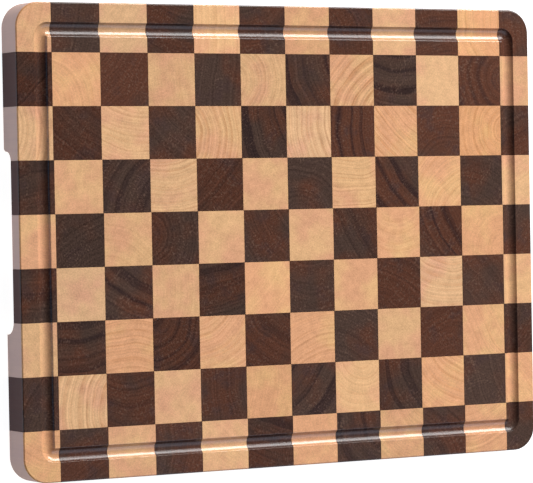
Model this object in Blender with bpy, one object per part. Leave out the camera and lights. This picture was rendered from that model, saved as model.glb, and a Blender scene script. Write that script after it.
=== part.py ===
"""End-grain cutting board: a checkerboard of maple and walnut blocks, glued up in nine strips, with a
juice groove round the cutting face and a finger grip under each short side.

Metres, +Z up. The board lies flat, underside on Z = 0 and centred on the Z axis. X runs along its long
side, and rows are counted from the +Y edge, columns from the -X edge. Run with
blender --background --python part.py, or from Blender's text editor.
"""

import math

import bmesh
import bpy
from mathutils import Vector

# Board
LENGTH = 0.457
WIDTH = 0.356
THICKNESS = 0.0254
CORNER_RADIUS = 0.019
EDGE_ROUND = 0.002

# Checkerboard
COLUMNS = 12
ROWS = 9
PITCH = 0.040
GRID_SHIFT = Vector((0.0008, 0.0008))  # the trimmed slab is a little off the middle of the pattern
ROW_SLIP = (-0.4, -0.3, -0.4, 0.0, 0.4, 0.2, -0.2, 0.1, 0.6)  # mm that each strip slid along X in the clamps
GLUE_GAP = 0.0003
CORE_COLUMNS = (2, 9)  # in rows between the first and the last, these blocks are one strip

# Juice groove, a shallow pass with a half-inch round-nosed bit
GROOVE_INSET = 0.0202  # from the board's edge to the groove's centre line
GROOVE_RADIUS = 0.00635
GROOVE_DEPTH = 0.0028
GROOVE_CORNER = 0.0057  # of the centre line

# Finger grips, cut upwards from the underside with a round-nosed bit
GRIP_LENGTH = 0.136
GRIP_HEIGHT = 0.0125
GRIP_BIT_RADIUS = 0.010
GRIP_SET_IN = 0.002  # from the board's side to the bit's axis

# Smoothness of the round parts
CORNER_STEPS = 8
EDGE_STEPS = 2
GROOVE_SIDES = 10
GRIP_STEPS = 10  # in a half turn of its ends, and up its rounded ceiling

CUTTER_MARGIN = 0.010
GROOVE_MARGIN = 0.0003  # the groove's cutter stands this far out of the board

# Name, colour and roughness of each wood; a strip of both gets their mean colour
WOODS = {
    "maple": ((0.71, 0.45, 0.22, 1.0), 0.42),
    "walnut": ((0.075, 0.034, 0.024, 1.0), 0.38),
    "mixed": ((0.39, 0.24, 0.12, 1.0), 0.40),
}


def clear_scene():
    for old in list(bpy.data.objects):
        bpy.data.objects.remove(old, do_unlink=True)


def add_object(name, shape):
    """Turns a bmesh into a named object in the scene, and frees the bmesh."""
    bmesh.ops.recalc_face_normals(shape, faces=shape.faces)
    mesh = bpy.data.meshes.new(name)
    shape.to_mesh(mesh)
    shape.free()
    made = bpy.data.objects.new(name, mesh)
    bpy.context.scene.collection.objects.link(made)
    return made


def hide_tool(made):
    """Marks an object that only shapes others and is no part of the board."""
    made.hide_render = True
    made.display_type = "WIRE"
    return made


def add_boolean(made, operation, tool):
    cut = made.modifiers.new(f"{operation.lower()}_{tool.name}", "BOOLEAN")
    cut.operation = operation
    cut.solver = "EXACT"
    cut.object = tool


def rounded_rectangle(length, width, radius, steps):
    """Points and outward directions round a rectangle with round corners, anticlockwise."""
    outline = []
    for quarter, (side_x, side_y) in enumerate(((1, 1), (-1, 1), (-1, -1), (1, -1))):
        middle = Vector((side_x * (length / 2 - radius), side_y * (width / 2 - radius)))
        for step in range(steps + 1):
            angle = math.radians(90 * (quarter + step / steps))
            outward = Vector((math.cos(angle), math.sin(angle)))
            outline.append((middle + radius * outward, outward))
    return outline


def make_slab():
    """The whole board before it is grooved: a plate with round corners and eased edges."""
    shape = bmesh.new()
    outline = rounded_rectangle(LENGTH, WIDTH, CORNER_RADIUS, CORNER_STEPS)
    rim = [shape.verts.new((point.x, point.y, 0.0)) for point, _ in outline]
    underside = shape.faces.new(rim)
    raised = bmesh.ops.extrude_face_region(shape, geom=[underside])["geom"]
    lifted = [item for item in raised if isinstance(item, bmesh.types.BMVert)]
    bmesh.ops.translate(shape, verts=lifted, vec=(0.0, 0.0, THICKNESS))
    edges = [edge for edge in shape.edges if edge.verts[0].co.z == edge.verts[1].co.z]
    bmesh.ops.bevel(shape, geom=edges, offset=EDGE_ROUND, segments=EDGE_STEPS, profile=0.5, affect="EDGES")
    return hide_tool(add_object("slab", shape))


def make_groove_cutter():
    """The part of the round bit's path that enters the board: a segment of a circle along the groove."""
    shape = bmesh.new()
    height = THICKNESS - GROOVE_DEPTH + GROOVE_RADIUS
    reach = math.acos((height - THICKNESS - GROOVE_MARGIN) / GROOVE_RADIUS)
    path = rounded_rectangle(
        LENGTH - 2 * GROOVE_INSET, WIDTH - 2 * GROOVE_INSET, GROOVE_CORNER, CORNER_STEPS
    )
    rings = []
    for point, outward in path:
        ring = []
        for side in range(GROOVE_SIDES + 1):
            angle = reach * (2 * side / GROOVE_SIDES - 1)
            place = point + outward * GROOVE_RADIUS * math.sin(angle)
            ring.append(shape.verts.new((place.x, place.y, height - GROOVE_RADIUS * math.cos(angle))))
        rings.append(ring)
    for ring, following in zip(rings, rings[1:] + rings[:1]):
        for side in range(len(ring)):
            beside = (side + 1) % len(ring)
            shape.faces.new((ring[side], ring[beside], following[beside], following[side]))
    return hide_tool(add_object("groove_cutter", shape))


def make_grip_cutter(name, side):
    """The space swept by the grip's bit under one short side; side is -1 or 1.

    It is a long pad with half-round ends, and its ceiling is rounded over by the bit's radius.
    """
    shape = bmesh.new()
    axis_x = side * (LENGTH / 2 - GRIP_SET_IN)
    half_run = GRIP_LENGTH / 2 - GRIP_BIT_RADIUS
    levels = [(GRIP_BIT_RADIUS, -CUTTER_MARGIN)]
    for step in range(GRIP_STEPS):
        angle = math.radians(90 * step / GRIP_STEPS)
        rise = GRIP_HEIGHT - GRIP_BIT_RADIUS + GRIP_BIT_RADIUS * math.sin(angle)
        levels.append((GRIP_BIT_RADIUS * math.cos(angle), rise))
    loops = []
    for radius, height in levels:
        loop = []
        for end in (1, -1):
            for step in range(GRIP_STEPS + 1):
                angle = math.radians(180 * step / GRIP_STEPS)
                x = axis_x + end * radius * math.cos(angle)
                y = end * (half_run + radius * math.sin(angle))
                loop.append(shape.verts.new((x, y, height)))
        loops.append(loop)
    for lower, upper in zip(loops, loops[1:]):
        for index in range(len(lower)):
            beside = (index + 1) % len(lower)
            shape.faces.new((lower[index], lower[beside], upper[beside], upper[index]))
    shape.faces.new(loops[0])
    shape.faces.new(loops[-1])
    return hide_tool(add_object(name, shape))


def block_span(row, first, last):
    """Lowest and highest X and Y of the blocks first to last in a row, running past the board's edges."""
    middle = Vector((GRID_SHIFT.x + ROW_SLIP[row] / 1000, GRID_SHIFT.y))
    low = Vector((middle.x + (first - COLUMNS / 2) * PITCH, middle.y + (ROWS / 2 - row - 1) * PITCH))
    high = Vector((middle.x + (last + 1 - COLUMNS / 2) * PITCH, middle.y + (ROWS / 2 - row) * PITCH))
    low += Vector((GLUE_GAP, GLUE_GAP)) / 2
    high -= Vector((GLUE_GAP, GLUE_GAP)) / 2
    if first == 0:
        low.x = -LENGTH / 2 - CUTTER_MARGIN
    if last == COLUMNS - 1:
        high.x = LENGTH / 2 + CUTTER_MARGIN
    if row == 0:
        high.y = WIDTH / 2 + CUTTER_MARGIN
    if row == ROWS - 1:
        low.y = -WIDTH / 2 - CUTTER_MARGIN
    return low, high


def make_block(name, wood, row, first, last, board):
    """One node: the blocks first to last of a row. A block on the board's edge takes the board's shape."""
    low, high = block_span(row, first, last)
    on_edge = row in (0, ROWS - 1) or first == 0 or last == COLUMNS - 1
    spare = CUTTER_MARGIN if on_edge else 0.0
    size = Vector((high.x - low.x, high.y - low.y, THICKNESS + 2 * spare))
    shape = bmesh.new()
    bmesh.ops.create_cube(shape, size=1.0)
    bmesh.ops.scale(shape, verts=shape.verts, vec=size)
    block = add_object(name, shape)
    block.location = ((low.x + high.x) / 2, (low.y + high.y) / 2, THICKNESS / 2)
    block.data.materials.append(wood)
    if on_edge:
        add_boolean(block, "INTERSECT", board)
    return block


def make_wood(name, colour, roughness):
    wood = bpy.data.materials.new(name)
    wood.use_nodes = True
    shader = wood.node_tree.nodes["Principled BSDF"]
    shader.inputs["Base Color"].default_value = colour
    shader.inputs["Metallic"].default_value = 0.0
    shader.inputs["Roughness"].default_value = roughness
    return wood


def main():
    clear_scene()
    woods = {name: make_wood(name, *look) for name, look in WOODS.items()}

    board = make_slab()
    add_boolean(board, "DIFFERENCE", make_groove_cutter())
    add_boolean(board, "DIFFERENCE", make_grip_cutter("left_grip_cutter", -1))
    add_boolean(board, "DIFFERENCE", make_grip_cutter("right_grip_cutter", 1))

    for row in range(ROWS):
        single = list(range(COLUMNS))
        if 0 < row < ROWS - 1:
            first, last = CORE_COLUMNS
            single = [column for column in single if not first <= column <= last]
            make_block(f"row_{row + 1}_core_strip", woods["mixed"], row, first, last, board)
        for column in single:
            wood = "walnut" if (row + column) % 2 else "maple"
            name = f"row_{row + 1}_{wood}_{column + 1:02d}"
            make_block(name, woods[wood], row, column, column, board)


main()
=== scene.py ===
"""Looks of the end-grain cutting board: 108 blocks of maple and walnut with their glue film, the eased
juice groove, the finger grips, both woods' grain, and a plain studio round them.

Metres, +Z up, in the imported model's frame: the board lies flat with its underside on Z = 0. Rows are
counted from the +Y edge and columns from the -X edge.
"""

import math
import random

import bmesh
import bpy
from mathutils import Matrix, Vector


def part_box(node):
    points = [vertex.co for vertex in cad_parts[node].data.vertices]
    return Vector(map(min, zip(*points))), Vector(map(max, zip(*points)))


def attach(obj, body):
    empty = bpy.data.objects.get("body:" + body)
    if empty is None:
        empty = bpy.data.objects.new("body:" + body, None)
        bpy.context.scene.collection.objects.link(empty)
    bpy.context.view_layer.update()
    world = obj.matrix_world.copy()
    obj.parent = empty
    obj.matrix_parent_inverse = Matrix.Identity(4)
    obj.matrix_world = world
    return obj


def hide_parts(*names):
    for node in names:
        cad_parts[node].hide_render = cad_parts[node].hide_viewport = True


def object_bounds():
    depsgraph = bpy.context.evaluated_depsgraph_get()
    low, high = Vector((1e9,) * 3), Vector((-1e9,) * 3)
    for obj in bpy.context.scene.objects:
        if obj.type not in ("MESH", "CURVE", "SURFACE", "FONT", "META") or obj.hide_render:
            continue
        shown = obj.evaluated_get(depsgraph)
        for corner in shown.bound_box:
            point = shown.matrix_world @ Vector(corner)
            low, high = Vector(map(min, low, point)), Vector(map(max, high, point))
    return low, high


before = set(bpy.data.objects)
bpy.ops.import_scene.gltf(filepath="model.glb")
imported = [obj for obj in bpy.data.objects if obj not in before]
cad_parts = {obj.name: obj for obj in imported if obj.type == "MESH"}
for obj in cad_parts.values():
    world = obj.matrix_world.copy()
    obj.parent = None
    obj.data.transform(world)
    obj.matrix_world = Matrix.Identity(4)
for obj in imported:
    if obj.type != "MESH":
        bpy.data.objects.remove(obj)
CAD_LOW, CAD_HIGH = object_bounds()

MM = 0.001

# Board. Its sizes are the CAD's, except that the CAD rounds the edge by 2 mm and eases no rim or lip.
LENGTH = CAD_HIGH.x - CAD_LOW.x
WIDTH = CAD_HIGH.y - CAD_LOW.y
THICKNESS = CAD_HIGH.z - CAD_LOW.z
CORNER_RADIUS = 19 * MM
EDGE_ROUND = 1.2 * MM
COLUMNS = 12
ROWS = 9
CORE_COLUMNS = (2, 9)  # the CAD joins these blocks of the rows between the first and the last

GROOVE_INSET = 20.2 * MM  # from the board's edge to the groove's centre line
GROOVE_RADIUS = 6.35 * MM
GROOVE_DEPTH = 2.8 * MM
GROOVE_CORNER = 5.7 * MM  # of the centre line
GROOVE_OUTER_EASE = 0.4 * MM  # radius sanded onto the groove's outer rim
GROOVE_INNER_EASE = 1.0 * MM  # and onto its inner rim
GROOVE_REACH = math.sqrt(GROOVE_RADIUS**2 - (GROOVE_RADIUS - GROOVE_DEPTH)**2)  # half its width

GRIP_LENGTH = 136 * MM
GRIP_HEIGHT = 12.5 * MM
GRIP_BIT_RADIUS = 10 * MM
GRIP_SET_IN = 2 * MM  # from the board's side to the bit's axis
GRIP_EASE = {1: 5 * MM, -1: 0.8 * MM}  # radius sanded onto its lip, at the +Y and the -Y end
GRIP_LEAST_WALL = 0.1 * MM  # between the eased lip and the rounded ceiling

# Joints
GLUE_FILM = 0.10 * MM
GLUE_CLEARANCE = 0.02 * MM
JOINT_EASE = 0.08 * MM  # the hairline arris left on each block by sanding

# Smoothness of the round parts
CORNER_STEPS = 24
SHARPEST_CORNER = 0.1 * MM  # no corner of the groove is tighter
EDGE_STEPS = 6
COVE_STEPS = 14  # in half of the groove's bottom
RIM_STEPS = 5
GRIP_STEPS = 24
WELD = 0.002 * MM  # points closer than this become one
EASED_ANGLE = math.radians(60)  # edges sharper than this are eased by a hairline
SHARP_ANGLE = math.radians(32)  # edges sharper than this stay sharp in the shading
SPARE = 10 * MM  # how far cutters and uncut blocks stand out of the board

# Wear and painted shade, as the wood's material reads it: 1 on the board's edge. Where it is set, the
# colour takes painted shade and the finish is polished by wear
RIM_SHADE_AND_WEAR = 0.2  # strength of painted shade and wear on the groove's rims
EDGE_BAND = 0.9  # width of the edge's band of painted shade and wear, as a share of the edge's rounding
RIM_DROP = (0.01 * MM, 0.6 * MM)  # the rims' band of painted shade and wear lies this far below the cutting face
ROUTED_DROP = 0.1 * MM  # the groove's cut surface starts this far below the cutting face
ROUTED_BAND = 0.95  # and takes up this share of the groove's width

# Grain. Blocks are named by row and column from 0; a heading is in degrees from +X towards +Y.
GRAIN_SEED = 11
CLEAR_RINGS = {  # heading and distance of the pith in mm, ring spacing in mm, contrast
    (1, 1): (215, 34, 6.0, 0.5),
    (1, 5): (182, 30, 5.0, 0.5),
    (1, 7): (-42, 66, 7.5, 1.0),
    (2, 2): (76, 90, 3.6, 0.5),
    (2, 4): (184, 44, 5.5, 0.9),
    (2, 6): (8, 70, 5.0, 1.0),
    (2, 8): (46, 95, 5.0, 0.8),
    (2, 10): (2, 24, 5.0, 0.7),
    (3, 3): (98, 80, 3.2, 0.7),
    (3, 7): (92, 70, 4.0, 0.7),
    (3, 9): (-46, 60, 5.0, 0.7),
    (5, 9): (80, 60, 5.5, 0.8),
    (6, 4): (120, 48, 5.0, 0.7),
    (7, 1): (-8, 50, 6.5, 1.0),
}
STRAIGHT_GRAIN = {  # heading of the pith, and walnut with this grain shows dark veins
    (1, 3): 8,
    (1, 6): 22,
    (1, 8): 84,
    (2, 5): 18,
    (2, 7): 4,
    (3, 8): 40,
    (4, 9): 30,
    (5, 2): 60,
    (6, 1): 95,
    (7, 6): 140,
}
STRAIGHT_PITH = 90.0  # distance of the pith from those blocks, mm
WARMTH = {  # how red the block is, where it stands out
    (0, 1): -1.2,
    (0, 11): 1.2,
    (1, 0): 1.8,
    (1, 2): 1.6,
    (1, 10): 1.9,
    (2, 1): 1.2,
    (3, 4): 1.5,
    (6, 9): 1.6,
}

# How the other blocks vary
PITH_DISTANCES = (28, 45, 60, 80, 110, 160)  # mm
PITH_SPREAD = (0.85, 1.15)  # a distance is multiplied by something in this range
MAPLE_SPACING = (4.0, 8.0)  # range of the rings' spacing, mm
WALNUT_SPACING = (3.5, 7.0)
MAPLE_CONTRASTS = (0.0, 0.1, 0.2, 0.35, 0.6)  # 1 is the strongest
WALNUT_CONTRAST = (0.4, 1.0)
VEININGS = (0.1, 0.2, 0.4, 0.7)  # how dark walnut's veins are; 1 is the darkest
SEED_RANGE = (0.0, 50.0)  # of the number that sets one block's noise apart from another's
WALNUT_PAINTED_SHEEN_STEP = 0.25  # painted sheen: walnut gets this much lighter with each column towards +X

# Maple
MAPLE_STRAW = (0.735, 0.435, 0.214, 1.0)
MAPLE_PEACH = (0.705, 0.365, 0.203, 1.0)
MAPLE_LATE = (0.470, 0.205, 0.085, 1.0)
# The long grain's own paler colour, with painted cool light and sheen in it
MAPLE_SIDE_COOL_LIT = (0.430, 0.292, 0.262, 1.0)
MAPLE_IOR = 1.5
MAPLE_ROUGHNESS = 0.14
MAPLE_WARP = 6.0  # how far the grain is bent out of true rings, mm
MAPLE_RELIEF = 0.05 * MM

# Walnut
WALNUT_OLIVE = (0.067, 0.039, 0.029, 1.0)
WALNUT_RED = (0.096, 0.036, 0.021, 1.0)
WALNUT_PURPLE = (0.060, 0.034, 0.031, 1.0)
WALNUT_LATE = (0.026, 0.012, 0.009, 1.0)
WALNUT_FLECK = (0.200, 0.120, 0.085, 1.0)
WALNUT_VEIN = (0.020, 0.011, 0.012, 1.0)
# The long grain's own colour, with painted cool light and sheen in it
WALNUT_SIDE_COOL_LIT = (0.055, 0.018, 0.017, 1.0)
WALNUT_IOR = 1.4
WALNUT_ROUGHNESS = 0.18
WALNUT_WARP = 7.0
WALNUT_RELIEF = 0.13 * MM

# Both woods
# Painted shade: the colour is multiplied by this on the rounded edges, and less on the groove's rims
EDGE_SHADE_TINT = (0.76, 0.66, 0.54, 1.0)
# Painted shade in the groove, slightly cool: the colour is multiplied by this where it was routed
ROUTED_SHADE_TINT = (0.87, 0.85, 0.86, 1.0)
PORE_STRETCH = (1.0, 1.0, 0.05)  # the pores run along Z
SIDE_COVER = 0.85  # how far the side's colour hides the end grain's
SIDE_DULLNESS = 0.65  # added to the roughness on the sides
WORN_POLISH = -0.05  # added to the roughness where the wood is worn

# Glue
GLUE_DARK = (0.100, 0.045, 0.020, 1.0)
GLUE_AMBER = (0.260, 0.140, 0.060, 1.0)
GLUE_RELIEF = 0.02 * MM

# Studio
CAMERA_PLACE = Vector((-1.1511, 0.0335, 1.9996))
CAMERA_TARGET = Vector((-0.0193, -0.0036, 0.0254))
CAMERA_UP = Vector((0.0239, 0.9997, -0.0051))
CAMERA_LENS = 199.5
SENSOR_WIDTH = 36.0
FLOOR_SIZE = 3.0  # half of its side
FLOOR_DROP = 0.3 * MM  # the floor lies this far below the underside
FLOOR_PAPER = (0.35, 0.35, 0.35, 1.0)
FLOOR_GLOW = 0.96
WORLD_COLOUR = (0.03, 0.03, 0.03, 1.0)
WHITE = (1.0, 1.0, 1.0)
PALE_BLUE = (0.80, 0.83, 1.0)
DEEP_BLUE = (0.25, 0.55, 1.0)


# ---------------------------------------------------------------- meshes


def new_object(name, shape):
    """Turns a bmesh into a named object in the scene, and frees the bmesh."""
    bmesh.ops.recalc_face_normals(shape, faces=shape.faces)
    mesh = bpy.data.meshes.new(name)
    shape.to_mesh(mesh)
    shape.free()
    made = bpy.data.objects.new(name, mesh)
    bpy.context.scene.collection.objects.link(made)
    return made


def apply_modifiers(made):
    """Swaps an object's mesh for what its modifiers make of it."""
    bpy.context.view_layer.update()
    ready = made.evaluated_get(bpy.context.evaluated_depsgraph_get())
    mesh = bpy.data.meshes.new_from_object(ready)
    made.modifiers.clear()
    old = made.data
    made.data = mesh
    bpy.data.meshes.remove(old)
    mesh.name = made.name


def combine(made, operation, tools):
    """Applies a Boolean of made with each tool in turn."""
    for tool in tools:
        cut = made.modifiers.new("cut", "BOOLEAN")
        cut.operation = operation
        cut.solver = "EXACT"
        cut.object = tool
    apply_modifiers(made)


def rounded_rectangle(length, width, radius, steps):
    """Points round a rectangle with round corners, anticlockwise."""
    outline = []
    for quarter, (side_x, side_y) in enumerate(((1, 1), (-1, 1), (-1, -1), (1, -1))):
        middle = Vector((side_x * (length / 2 - radius), side_y * (width / 2 - radius)))
        for step in range(steps + 1):
            angle = math.radians(90 * (quarter + step / steps))
            outline.append(middle + radius * Vector((math.cos(angle), math.sin(angle))))
    return outline


def half_groove(ease):
    """Half of the groove's section, out to a rim of this ease: (distance from its middle, height)."""
    centre = THICKNESS - GROOVE_DEPTH + GROOVE_RADIUS
    reach = GROOVE_RADIUS + ease
    below = GROOVE_RADIUS - GROOVE_DEPTH + ease
    rim = math.sqrt(reach**2 - below**2)
    steepest = math.acos(below / reach)
    section = []
    for step in range(COVE_STEPS):
        angle = steepest * step / COVE_STEPS
        section.append((GROOVE_RADIUS * math.sin(angle), centre - GROOVE_RADIUS * math.cos(angle)))
    for step in range(RIM_STEPS + 1):
        angle = steepest * (1 - step / RIM_STEPS)
        section.append((rim - ease * math.sin(angle), THICKNESS - ease * (1 - math.cos(angle))))
    return section


def board_profile():
    """The board's section from its underside out and over to its middle: (inset, height, corner radius)."""
    section = []
    for step in range(EDGE_STEPS + 1):
        angle = math.radians(90 * step / EDGE_STEPS)
        section.append((EDGE_ROUND * (1 - math.sin(angle)), EDGE_ROUND * (1 - math.cos(angle))))
    for step in range(EDGE_STEPS + 1):
        angle = math.radians(90 * step / EDGE_STEPS)
        drop = EDGE_ROUND * (1 - math.sin(angle))
        section.append((EDGE_ROUND * (1 - math.cos(angle)), THICKNESS - drop))
    rings = [(inset, height, CORNER_RADIUS - inset) for inset, height in section]
    for outward, height in reversed(half_groove(GROOVE_OUTER_EASE)):
        rings.append((GROOVE_INSET - outward, height, GROOVE_CORNER + outward))
    for inward, height in half_groove(GROOVE_INNER_EASE)[1:]:
        rings.append((GROOVE_INSET + inward, height, max(GROOVE_CORNER - inward, SHARPEST_CORNER)))
    return rings


def make_board():
    """The whole grooved board in one piece, before it is split into its blocks."""
    shape = bmesh.new()
    rings = []
    for inset, height, radius in board_profile():
        outline = rounded_rectangle(LENGTH - 2 * inset, WIDTH - 2 * inset, radius, CORNER_STEPS)
        rings.append([shape.verts.new((point.x, point.y, height)) for point in outline])
    for lower, upper in zip(rings, rings[1:]):
        for index in range(len(lower)):
            beside = (index + 1) % len(lower)
            shape.faces.new((lower[index], lower[beside], upper[beside], upper[index]))
    shape.faces.new(rings[0])
    shape.faces.new(rings[-1])
    return new_object("board", shape)


def grip_section(ease):
    """The grip's wall from below the board to its ceiling: (distance from the bit's axis, height)."""
    section = [(GRIP_BIT_RADIUS + ease, -SPARE)]
    for step in range(EDGE_STEPS + 1):
        angle = math.radians(90 * step / EDGE_STEPS)
        section.append((GRIP_BIT_RADIUS + ease * (1 - math.sin(angle)), ease * (1 - math.cos(angle))))
    hollow = min(GRIP_BIT_RADIUS, GRIP_HEIGHT - ease - GRIP_LEAST_WALL)
    for step in range(GRIP_STEPS):
        angle = math.radians(90 * step / GRIP_STEPS)
        radius = GRIP_BIT_RADIUS - hollow * (1 - math.cos(angle))
        section.append((radius, GRIP_HEIGHT - hollow * (1 - math.sin(angle))))
    return section


def make_grip_cutter(side):
    """The space under one short side where the fingers go: a long pad with half-round ends.

    Its ceiling is rounded by the bit's radius, or by less where the eased lip leaves no room for that. It
    flares at the underside for the lip.
    """
    shape = bmesh.new()
    axis_x = side * (LENGTH / 2 - GRIP_SET_IN)
    half_run = GRIP_LENGTH / 2 - GRIP_BIT_RADIUS
    loops = []
    for levels in zip(grip_section(GRIP_EASE[1]), grip_section(GRIP_EASE[-1])):
        loop = []
        for end, (radius, height) in zip((1, -1), levels):
            for step in range(GRIP_STEPS + 1):
                angle = math.radians(180 * step / GRIP_STEPS)
                x = axis_x + end * radius * math.cos(angle)
                y = end * (half_run + radius * math.sin(angle))
                loop.append(shape.verts.new((x, y, height)))
        loops.append(loop)
    for lower, upper in zip(loops, loops[1:]):
        for index in range(len(lower)):
            beside = (index + 1) % len(lower)
            shape.faces.new((lower[index], lower[beside], upper[beside], upper[index]))
    shape.faces.new(loops[0])
    shape.faces.new(loops[-1])
    return new_object("grip_cutter", shape)


def add_box(shape, low, high):
    """Adds a box to a bmesh."""
    corners = bmesh.ops.create_cube(shape, size=1.0)["verts"]
    bmesh.ops.scale(shape, verts=corners, vec=high - low)
    bmesh.ops.translate(shape, verts=corners, vec=(low + high) / 2)


def soften(made):
    """Eases the sharp edges by a hairline, then shades the round parts smooth."""
    shape = bmesh.new()
    shape.from_mesh(made.data)
    bmesh.ops.remove_doubles(shape, verts=shape.verts, dist=WELD)
    bmesh.ops.dissolve_degenerate(shape, edges=shape.edges, dist=WELD)
    sharp = [edge for edge in shape.edges if edge.is_manifold and edge.calc_face_angle() > EASED_ANGLE]
    bmesh.ops.bevel(
        shape, geom=sharp, offset=JOINT_EASE, segments=1, profile=0.5, affect="EDGES", clamp_overlap=True
    )
    for face in shape.faces:
        face.smooth = True
    for edge in shape.edges:
        edge.smooth = not edge.is_manifold or edge.calc_face_angle() < SHARP_ANGLE
    shape.to_mesh(made.data)
    shape.free()
    weighted = made.modifiers.new("even_shading", "WEIGHTED_NORMAL")
    weighted.keep_sharp = True


# ---------------------------------------------------------------- the checkerboard's layout


def wood_of(row, column):
    return "walnut" if (row + column) % 2 else "maple"


def node_of(row, column):
    """The CAD node that a block is, or is part of."""
    if 0 < row < ROWS - 1 and CORE_COLUMNS[0] <= column <= CORE_COLUMNS[1]:
        return f"row_{row + 1}_core_strip"
    return f"row_{row + 1}_{wood_of(row, column)}_{column + 1:02d}"


def joint_lines():
    """Where the glue joints are: Y between rows, and for each row the X between its columns."""
    between_rows = []
    for row in range(1, ROWS):
        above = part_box(node_of(row - 1, 0))[0].y
        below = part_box(node_of(row, 0))[1].y
        between_rows.append((above + below) / 2)
    between_columns = []
    for row in range(ROWS):
        lines = []
        for column in range(1, COLUMNS):
            before, after = node_of(row, column - 1), node_of(row, column)
            if before == after:
                low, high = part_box(before)
                joined = CORE_COLUMNS[1] - CORE_COLUMNS[0] + 1
                lines.append(low.x + (high.x - low.x) * (column - CORE_COLUMNS[0]) / joined)
            else:
                lines.append((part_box(before)[1].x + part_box(after)[0].x) / 2)
        between_columns.append(lines)
    return between_rows, between_columns


def block_limits(row, column, rows_at, columns_at):
    """Lowest and highest corner of a block's space between joint lines, running past the board's edges."""
    y_lines = [WIDTH / 2 + SPARE] + rows_at + [-WIDTH / 2 - SPARE]
    x_lines = [-LENGTH / 2 - SPARE] + columns_at[row] + [LENGTH / 2 + SPARE]
    low = Vector((x_lines[column], y_lines[row + 1], -SPARE))
    high = Vector((x_lines[column + 1], y_lines[row], THICKNESS + SPARE))
    return low, high


# ---------------------------------------------------------------- grain of each block


def fill_attribute(mesh, name, value):
    """Gives every face of a mesh the same vector, for the wood's material to read."""
    layer = mesh.attributes.new(name, "FLOAT_VECTOR", "FACE")
    layer.data.foreach_set("vector", list(value) * len(mesh.polygons))


def choose_grain(wood, row, column, middle, draw):
    """Where the tree's pith was, and how strong and how coloured this block's grain is; walnut gets painted
    sheen that lightens it towards +X.

    The Z of the pith is the block's seed. Every block makes the same draws, whatever it uses of them.
    """
    heading = draw.uniform(0, 360)
    distance = draw.choice(PITH_DISTANCES) * draw.uniform(*PITH_SPREAD)
    if wood == "maple":
        spacing = draw.uniform(*MAPLE_SPACING)
        contrast = draw.choice(MAPLE_CONTRASTS)
    else:
        spacing = draw.uniform(*WALNUT_SPACING)
        contrast = draw.uniform(*WALNUT_CONTRAST)
    light = draw.gauss(0.0, 1.0)
    # Painted sheen: walnut is made lighter column by column towards +X
    if wood == "walnut":
        light += WALNUT_PAINTED_SHEEN_STEP * (column - COLUMNS / 2)
    warmth = draw.gauss(0.0, 1.0)
    veining = draw.choice(VEININGS)
    seed = draw.uniform(*SEED_RANGE)

    warmth = WARMTH.get((row, column), warmth)
    if (row, column) in CLEAR_RINGS:
        heading, distance, spacing, contrast = CLEAR_RINGS[row, column]
    if (row, column) in STRAIGHT_GRAIN:
        heading, distance, veining = STRAIGHT_GRAIN[row, column], STRAIGHT_PITH, 1.0
    toward = Vector((math.cos(math.radians(heading)), math.sin(math.radians(heading)), 0.0))
    pith = middle / MM + distance * toward
    pith.z = seed
    return {"pith": pith, "rings": (spacing, contrast, distance), "tone_and_sheen": (light, warmth, veining)}


# ---------------------------------------------------------------- materials


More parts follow.
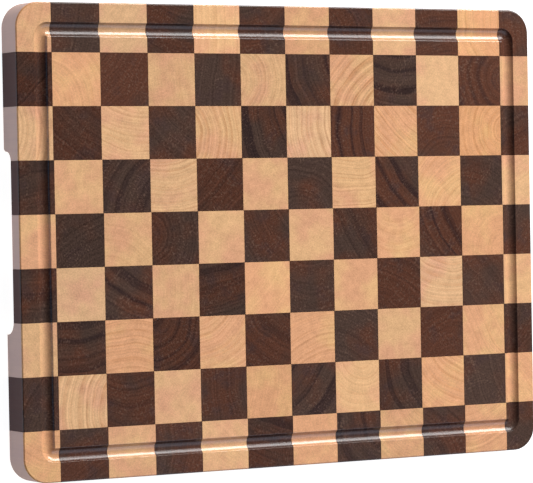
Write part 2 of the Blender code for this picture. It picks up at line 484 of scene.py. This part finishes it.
class Graph:
    """A material's nodes. The methods add nodes and return an output; a number or a link may go in."""

    def __init__(self, name):
        self.material = bpy.data.materials.new(name)
        self.material.use_nodes = True
        self.tree = self.material.node_tree
        self.shader = self.tree.nodes["Principled BSDF"]

    def feed(self, socket, value):
        """Links an output to a socket, or sets the socket to a number or colour."""
        if isinstance(value, bpy.types.NodeSocket):
            self.tree.links.new(value, socket)
        elif value is not None:
            socket.default_value = value

    def add(self, kind, inputs, **settings):
        """Adds one node and returns it."""
        node = self.tree.nodes.new(kind)
        for key, value in settings.items():
            setattr(node, key, value)
        for key, value in inputs.items():
            self.feed(node.inputs[key], value)
        return node

    def math(self, operation, first, second=None, third=None):
        inputs = {0: first, 1: second, 2: third}
        return self.add("ShaderNodeMath", inputs, operation=operation).outputs[0]

    def vector(self, operation, first, second=None):
        node = self.add("ShaderNodeVectorMath", {0: first}, operation=operation)
        if operation == "SCALE":
            self.feed(node.inputs["Scale"], second)
        else:
            self.feed(node.inputs[1], second)
        return node.outputs["Value" if operation in ("LENGTH", "DOT_PRODUCT") else "Vector"]

    def split(self, vector):
        return self.add("ShaderNodeSeparateXYZ", {0: vector}).outputs

    def join(self, x, y, z):
        return self.add("ShaderNodeCombineXYZ", {0: x, 1: y, 2: z}).outputs[0]

    def here(self):
        """The place on the board, in millimetres."""
        return self.vector("SCALE", self.add("ShaderNodeTexCoord", {}).outputs["Object"], 1 / MM)

    def attribute(self, name):
        """A number that the mesh carries."""
        return self.add("ShaderNodeAttribute", {}, attribute_name=name).outputs["Fac"]

    def attributes(self, name):
        """The three numbers of a vector that the mesh carries."""
        return self.split(self.add("ShaderNodeAttribute", {}, attribute_name=name).outputs["Vector"])

    def around(self, value, amount, base):
        """The base, plus the amount times how far the value is above a half."""
        return self.math("MULTIPLY_ADD", self.math("SUBTRACT", value, 0.5), amount, base)

    def noise(self, place, scale, detail=2.0, roughness=0.5, dimensions="3D"):
        """Noise from 0 to 1; in one dimension, place is a number."""
        key = "W" if dimensions == "1D" else "Vector"
        inputs = {key: place, "Scale": scale, "Detail": detail, "Roughness": roughness}
        return self.add("ShaderNodeTexNoise", inputs, noise_dimensions=dimensions).outputs["Fac"]

    def ease(self, value, low, high, to_low=0.0, to_high=1.0):
        """A smooth step of value from low to high."""
        inputs = {"Value": value, "From Min": low, "From Max": high, "To Min": to_low, "To Max": to_high}
        return self.add("ShaderNodeMapRange", inputs, interpolation_type="SMOOTHSTEP").outputs[0]

    def mix(self, factor, first, second, blend="MIX"):
        node = self.add("ShaderNodeMix", {}, data_type="RGBA", blend_type=blend)
        self.feed(node.inputs[0], factor)
        self.feed(node.inputs[6], first)
        self.feed(node.inputs[7], second)
        return node.outputs[2]

    def bump(self, height, distance):
        return self.add("ShaderNodeBump", {"Height": height, "Distance": distance}).outputs[0]


def grain_space(wood, warp):
    """Places in a block as the wood sees them, in millimetres, bent by up to about half of warp.

    They are the place itself, a place for loose patches, which change little along Z, and the distance
    from the pith and the arc round it. With them come the block's seed, ring spacing and contrast.
    """
    here = wood.here()
    x, y, z = wood.split(here)[:3]
    pith = wood.attributes("pith")
    spacing, contrast, distance = wood.attributes("rings")[:3]
    seed = pith[2]
    depth = wood.math("MULTIPLY_ADD", z, 0.06, wood.math("MULTIPLY", seed, 17.3))
    loose = wood.join(x, y, depth)
    bend = wood.add(
        "ShaderNodeTexNoise", {"Vector": loose, "Scale": 0.035, "Detail": 1.5, "Roughness": 0.5}
    ).outputs["Color"]
    bend = wood.vector("SCALE", wood.vector("SUBTRACT", bend, (0.5, 0.5, 0.5)), warp)
    bend_x, bend_y = wood.split(bend)[:2]
    from_x = wood.math("ADD", wood.math("SUBTRACT", x, pith[0]), bend_x)
    from_y = wood.math("ADD", wood.math("SUBTRACT", y, pith[1]), bend_y)
    radius = wood.vector("LENGTH", wood.join(from_x, from_y, 0.0))
    angle = wood.math("ARCTAN2", from_y, from_x)
    arc = wood.math("MULTIPLY", angle, distance)
    return {
        "here": here,
        "loose": loose,
        "radius": radius,
        "arc": arc,
        "seed": seed,
        "spacing": spacing,
        "contrast": contrast,
    }


def growth_rings(wood, space, wander):
    """How far into its year each place grew, from 0 to 1, and a random number for that year."""
    years = wood.math("DIVIDE", space["radius"], space["spacing"])
    along = wood.math("ADD", wood.math("MULTIPLY", years, 0.45), space["seed"])
    uneven = wood.noise(along, 1.0, 1.0, dimensions="1D")
    years = wood.math("ADD", years, wood.math("MULTIPLY", uneven, wander))
    year = wood.math("FLOOR", years)
    chance = wood.add(
        "ShaderNodeTexWhiteNoise", {"W": wood.math("ADD", year, space["seed"])}, noise_dimensions="1D"
    ).outputs["Value"]
    return wood.math("SUBTRACT", years, year), chance


def side_grain(wood):
    """1 on the board's sides, where the fibres run along the surface, and 0 on its faces."""
    normal = wood.add("ShaderNodeNewGeometry", {}).outputs["True Normal"]
    upright = wood.math("ABSOLUTE", wood.split(normal)[2])
    return wood.ease(upright, 0.05, 0.25, 1.0, 0.0)


def tool_marks(wood):
    """Height of the fine lines that the bit left along the groove, and 1 in the groove and 0 out of it."""
    routed = wood.attribute("routed")
    marks = wood.noise(wood.attribute("across"), 1.6, 2.0, 0.6, "1D")
    return wood.math("MULTIPLY", wood.math("SUBTRACT", marks, 0.5), routed), routed


def ray_noise(wood, space, across, along, detail):
    """Noise in strokes that point to the pith, of this many millimetres across and along."""
    x = wood.math("DIVIDE", space["arc"], across)
    y = wood.math("DIVIDE", space["radius"], along)
    return wood.noise(wood.join(x, y, space["seed"]), 1.0, detail)


def ring_noise(wood, space, scale, detail, roughness):
    """Noise in rings round the pith, at this scale per millimetre."""
    place = wood.math("MULTIPLY_ADD", space["radius"], scale, space["seed"])
    return wood.noise(place, 1.0, detail, roughness, "1D")


def paint_edge_and_groove_shade(wood, colour, wear_and_shade, routed):
    """Darkens a colour with painted shade on the rounded edges and the groove's rims, and in the groove."""
    colour = wood.mix(wear_and_shade, colour, EDGE_SHADE_TINT, "MULTIPLY")
    return wood.mix(routed, colour, ROUTED_SHADE_TINT, "MULTIPLY")


def make_maple():
    """Pale wood: faint rings that darken towards the end of each year, fine rays and small pores."""
    wood = Graph("oiled_maple")
    space = grain_space(wood, MAPLE_WARP)
    light, warmth = wood.attributes("tone_and_sheen")[:2]
    wear_and_shade = wood.attribute("wear_and_shade")
    side = side_grain(wood)
    marks, routed = tool_marks(wood)

    # Figure
    into_year, chance = growth_rings(wood, space, 1.2)
    late = wood.ease(into_year, 0.35, 0.90)
    late = wood.math("MULTIPLY", late, wood.ease(into_year, 0.90, 1.0, 1.0, 0.0))
    late = wood.math("MULTIPLY", late, wood.math("MULTIPLY_ADD", chance, 0.7, 0.3))
    breaks = wood.noise(space["loose"], 0.09, 2.0)
    late = wood.math("MULTIPLY", late, wood.ease(breaks, 0.30, 0.60, 0.35, 1.0))
    late = wood.math("MULTIPLY", late, space["contrast"])
    lines = ring_noise(wood, space, 0.55, 3.0, 0.6)
    rays = ray_noise(wood, space, 0.6, 7.0, 2.0)
    pores = wood.noise(wood.vector("MULTIPLY", space["here"], PORE_STRETCH), 0.9, 3.0, 0.75)
    patch = wood.noise(space["loose"], 0.040, 2.0)
    cloud = wood.noise(space["loose"], 0.14, 3.0, 0.6)

    # Colour
    lean = wood.math("MULTIPLY_ADD", warmth, 0.06, patch)
    colour = wood.mix(wood.ease(lean, 0.34, 0.66), MAPLE_STRAW, MAPLE_PEACH)
    colour = wood.mix(wood.math("MULTIPLY", late, 0.64), colour, MAPLE_LATE)
    shade = wood.math("MULTIPLY_ADD", light, 0.030, 1.0)
    shade = wood.around(cloud, 0.42, shade)
    clarity = wood.math("MULTIPLY_ADD", space["contrast"], 0.50, 0.12)
    shade = wood.around(lines, clarity, shade)
    shade = wood.around(rays, 0.16, shade)
    shade = wood.around(pores, 0.80, shade)
    colour = wood.vector("SCALE", colour, shade)
    # Painted shade on the rounded edges and rims, and in the groove
    colour = paint_edge_and_groove_shade(wood, colour, wear_and_shade, routed)
    red = wood.math("MULTIPLY_ADD", warmth, 0.015, 1.0)
    blue = wood.math("MULTIPLY_ADD", warmth, -0.055, 1.0)
    colour = wood.vector("MULTIPLY", colour, wood.join(red, 1.0, blue))
    # The sides take a colour that holds painted cool light and sheen as well as the long grain's own colour
    colour = wood.mix(wood.math("MULTIPLY", side, SIDE_COVER), colour, MAPLE_SIDE_COOL_LIT)
    wood.feed(wood.shader.inputs["Base Color"], colour)

    # Gloss
    rough = wood.around(pores, 0.06, MAPLE_ROUGHNESS)
    rough = wood.math("MULTIPLY_ADD", wear_and_shade, WORN_POLISH, rough)
    rough = wood.math("MULTIPLY_ADD", side, SIDE_DULLNESS, rough)
    wood.feed(wood.shader.inputs["Roughness"], rough)

    # Relief
    relief = wood.math("ADD", wood.math("MULTIPLY", pores, 0.6), wood.math("MULTIPLY", rays, 0.4))
    relief = wood.math("MULTIPLY_ADD", marks, 1.2, relief)
    wood.feed(wood.shader.inputs["Normal"], wood.bump(relief, MAPLE_RELIEF))
    wood.shader.inputs["IOR"].default_value = MAPLE_IOR
    return wood.material


def make_walnut():
    """Dark wood: wide bands, dark veins, pale flecks along the rays and open pores."""
    wood = Graph("oiled_walnut")
    space = grain_space(wood, WALNUT_WARP)
    light, warmth, veining = wood.attributes("tone_and_sheen")[:3]
    wear_and_shade = wood.attribute("wear_and_shade")
    side = side_grain(wood)
    marks, routed = tool_marks(wood)

    # Figure
    into_year, chance = growth_rings(wood, space, 1.5)
    band = wood.ease(into_year, 0.2, 0.9)
    band = wood.math("MULTIPLY", band, wood.ease(into_year, 0.92, 1.0, 1.0, 0.0))
    band = wood.math("MULTIPLY", wood.math("MULTIPLY", band, chance), space["contrast"])
    lines = ring_noise(wood, space, 0.50, 3.0, 0.65)
    vein = ring_noise(wood, space, 0.10, 2.0, 0.5)
    vein = wood.math("MULTIPLY", wood.ease(vein, 0.46, 0.68), veining)
    stroke = ray_noise(wood, space, 1.1, 2.2, 1.0)
    where = wood.noise(space["loose"], 0.06, 2.0)
    pores = wood.noise(wood.vector("MULTIPLY", space["here"], PORE_STRETCH), 0.75, 3.0, 0.75)
    flecks = wood.math("MULTIPLY", wood.ease(stroke, 0.50, 0.74), wood.ease(where, 0.38, 0.62, 0.25, 1.0))
    patch = wood.noise(space["loose"], 0.030, 2.0)
    stain = wood.noise(wood.vector("ADD", space["loose"], (60.0, 30.0, 9.0)), 0.06, 3.0, 0.6)

    # Colour
    lean = wood.math("MULTIPLY_ADD", warmth, 0.09, patch)
    colour = wood.mix(wood.ease(lean, 0.34, 0.66), WALNUT_OLIVE, WALNUT_RED)
    colour = wood.mix(wood.math("MULTIPLY", wood.ease(stain, 0.50, 0.72), 0.6), colour, WALNUT_PURPLE)
    colour = wood.mix(wood.math("MULTIPLY", vein, 0.7), colour, WALNUT_VEIN)
    colour = wood.mix(wood.math("MULTIPLY", band, 0.30), colour, WALNUT_LATE)
    colour = wood.mix(wood.math("MULTIPLY", flecks, 0.38), colour, WALNUT_FLECK)
    # The tone holds painted sheen too: walnut lighter towards +X
    shade = wood.math("MULTIPLY_ADD", light, 0.07, 1.0)
    shade = wood.around(lines, 0.80, shade)
    shade = wood.around(pores, 1.70, shade)
    colour = wood.vector("SCALE", colour, shade)
    # Painted shade on the rounded edges and rims, and in the groove
    colour = paint_edge_and_groove_shade(wood, colour, wear_and_shade, routed)
    # The sides take a colour that holds painted cool light and sheen as well as the long grain's own colour
    colour = wood.mix(wood.math("MULTIPLY", side, SIDE_COVER), colour, WALNUT_SIDE_COOL_LIT)
    wood.feed(wood.shader.inputs["Base Color"], colour)

    # Gloss
    rough = wood.around(pores, 0.20, WALNUT_ROUGHNESS)
    rough = wood.math("MULTIPLY_ADD", routed, 0.05, rough)
    rough = wood.math("MULTIPLY_ADD", wear_and_shade, WORN_POLISH, rough)
    rough = wood.math("MULTIPLY_ADD", side, SIDE_DULLNESS, rough)
    wood.feed(wood.shader.inputs["Roughness"], rough)

    # Relief
    relief = wood.math("ADD", wood.math("MULTIPLY", pores, 0.8), wood.math("MULTIPLY", flecks, -0.2))
    relief = wood.math("MULTIPLY_ADD", marks, 0.6, relief)
    wood.feed(wood.shader.inputs["Normal"], wood.bump(relief, WALNUT_RELIEF))
    wood.shader.inputs["IOR"].default_value = WALNUT_IOR
    return wood.material


def make_glue():
    """Amber to dark film with small beads."""
    glue = Graph("cured_glue")
    beads = glue.noise(glue.here(), 1.4)
    colour = glue.mix(glue.ease(beads, 0.3, 0.7), GLUE_DARK, GLUE_AMBER)
    glue.feed(glue.shader.inputs["Base Color"], colour)
    glue.feed(glue.shader.inputs["Roughness"], glue.ease(beads, 0.3, 0.7, 0.35, 0.55))
    glue.feed(glue.shader.inputs["Normal"], glue.bump(beads, GLUE_RELIEF))
    return glue.material


# ---------------------------------------------------------------- pieces


def inside_distance(x, y, inset, radius):
    """How far a place is inside a rounded rectangle drawn inset from the board's edge."""
    over_x = abs(x) - (LENGTH / 2 - inset - radius)
    over_y = abs(y) - (WIDTH / 2 - inset - radius)
    outside = math.hypot(max(over_x, 0.0), max(over_y, 0.0)) + min(max(over_x, over_y), 0.0)
    return radius - outside


def mark_wear_and_shade(mesh):
    """Marks the rounded edges and the groove's rims for painted shade and wear, the groove and the distance
    from its centre line, for the wood's material.
    """
    shaded_and_worn, routed, across = [], [], []
    for vertex in mesh.vertices:
        x, y, z = vertex.co
        from_edge = inside_distance(x, y, 0.0, CORNER_RADIUS)
        offset = inside_distance(x, y, GROOVE_INSET, GROOVE_CORNER)
        from_groove = abs(offset)
        on_edge = from_edge < EDGE_BAND * EDGE_ROUND and not EDGE_ROUND < z < THICKNESS - EDGE_ROUND
        drop = THICKNESS - z
        on_rim = RIM_DROP[0] < drop < RIM_DROP[1] and from_groove < GROOVE_REACH + GROOVE_INNER_EASE
        # 1 on the rounded edges and a little on the rims: painted shade there, and polish from wear
        shaded_and_worn.append(1.0 if on_edge else RIM_SHADE_AND_WEAR if on_rim else 0.0)
        routed.append(1.0 if from_groove < ROUTED_BAND * GROOVE_REACH and drop > ROUTED_DROP else 0.0)
        across.append(offset / MM)
    for name, values in {"wear_and_shade": shaded_and_worn, "routed": routed, "across": across}.items():
        mesh.attributes.new(name, "FLOAT", "POINT").data.foreach_set("value", values)


def make_blocks(board, rows_at, columns_at, materials):
    """The 108 blocks. Those on the board's edge take its shape, and each has its own piece of grain."""
    draw = random.Random(GRAIN_SEED)
    for row in range(ROWS):
        for column in range(COLUMNS):
            wood = wood_of(row, column)
            low, high = block_limits(row, column, rows_at, columns_at)
            margin = Vector((1.0, 1.0, 0.0)) * (GLUE_FILM / 2 + GLUE_CLEARANCE)
            low += margin
            high -= margin
            on_edge = row in (0, ROWS - 1) or column in (0, COLUMNS - 1)
            if not on_edge:
                low.z, high.z = 0.0, THICKNESS
            shape = bmesh.new()
            add_box(shape, low, high)
            block = new_object(f"block_{row + 1}_{column + 1:02d}_{wood}", shape)
            if on_edge:
                combine(block, "INTERSECT", [board])
            soften(block)
            mark_wear_and_shade(block.data)
            for name, value in choose_grain(wood, row, column, (low + high) / 2, draw).items():
                fill_attribute(block.data, name, value)
            block.data.materials.clear()
            block.data.materials.append(materials[wood])
            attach(block, "root")
            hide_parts(node_of(row, column))


def make_glue_lines(board, rows_at, columns_at, material):
    """The film of glue left in every joint, as one grid."""
    shape = bmesh.new()
    half = GLUE_FILM / 2
    for y in rows_at:
        low = Vector((-LENGTH / 2 - SPARE, y - half, -SPARE))
        high = Vector((LENGTH / 2 + SPARE, y + half, THICKNESS + SPARE))
        add_box(shape, low, high)
    for row in range(ROWS):
        for column in range(1, COLUMNS):
            low, high = block_limits(row, column, rows_at, columns_at)
            clear = half + GLUE_CLEARANCE
            near = Vector((low.x - half, low.y + clear, low.z))
            far = Vector((low.x + half, high.y - clear, high.z))
            add_box(shape, near, far)
    film = new_object("glue_lines", shape)
    combine(film, "INTERSECT", [board])
    film.data.materials.clear()
    film.data.materials.append(material)
    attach(film, "root")


# ---------------------------------------------------------------- studio


def make_camera():
    data = bpy.data.cameras.new("camera")
    data.sensor_width = SENSOR_WIDTH
    data.lens = CAMERA_LENS
    data.clip_start = 0.05
    data.clip_end = 20.0
    camera = bpy.data.objects.new("camera", data)
    forward = (CAMERA_TARGET - CAMERA_PLACE).normalized()
    right = forward.cross(CAMERA_UP).normalized()
    up = right.cross(forward)
    turn = Matrix((right, up, -forward)).transposed().to_4x4()
    camera.matrix_world = Matrix.Translation(CAMERA_PLACE) @ turn
    bpy.context.scene.collection.objects.link(camera)
    bpy.context.scene.camera = camera


def make_light(name, place, target, width, height, radiance, colour):
    """A rectangular soft light at place, facing target."""
    data = bpy.data.lights.new(name, "AREA")
    data.shape = "RECTANGLE"
    data.size = width
    data.size_y = height
    data.energy = radiance * math.pi * width * height
    data.color = colour
    light = bpy.data.objects.new(name, data)
    light.location = place
    light.rotation_euler = (Vector(target) - Vector(place)).to_track_quat("-Z", "Y").to_euler()
    bpy.context.scene.collection.objects.link(light)


def make_floor():
    shape = bmesh.new()
    bmesh.ops.create_grid(shape, x_segments=1, y_segments=1, size=FLOOR_SIZE)
    bmesh.ops.translate(shape, verts=shape.verts, vec=(0.0, 0.0, -FLOOR_DROP))
    floor = new_object("floor", shape)
    paper = Graph("white_paper")
    paper.shader.inputs["Base Color"].default_value = FLOOR_PAPER
    paper.shader.inputs["Roughness"].default_value = 0.9
    paper.shader.inputs["Emission Color"].default_value = (1.0, 1.0, 1.0, 1.0)
    paper.shader.inputs["Emission Strength"].default_value = FLOOR_GLOW
    floor.data.materials.append(paper.material)


def make_world():
    world = bpy.data.worlds.new("studio")
    world.use_nodes = True
    sky = world.node_tree.nodes["Background"]
    sky.inputs["Color"].default_value = WORLD_COLOUR
    bpy.context.scene.world = world


def make_studio():
    make_camera()
    make_floor()
    make_world()
    middle = (0.0, 0.0, THICKNESS)
    left_side = (-0.2, 0.0, 0.01)
    make_light("key", (2.72, 3.47, 2.76), middle, 4.4, 2.6, 14.3, WHITE)
    make_light("front_fill", (1.00, -1.75, 1.80), middle, 2.2, 1.8, 2.0, PALE_BLUE)
    make_light("left_card", (-0.80, 0.0, 0.10), left_side, 0.7, 0.2, 2.2, DEEP_BLUE)
    bpy.context.scene.view_settings.view_transform = "Standard"


def main():
    make_studio()
    woods = {"maple": make_maple(), "walnut": make_walnut()}
    board = make_board()
    grips = [make_grip_cutter(side) for side in (-1, 1)]
    combine(board, "DIFFERENCE", grips)
    rows_at, columns_at = joint_lines()
    make_blocks(board, rows_at, columns_at, woods)
    make_glue_lines(board, rows_at, columns_at, make_glue())
    for tool in [board] + grips:
        bpy.data.objects.remove(tool, do_unlink=True)


main()
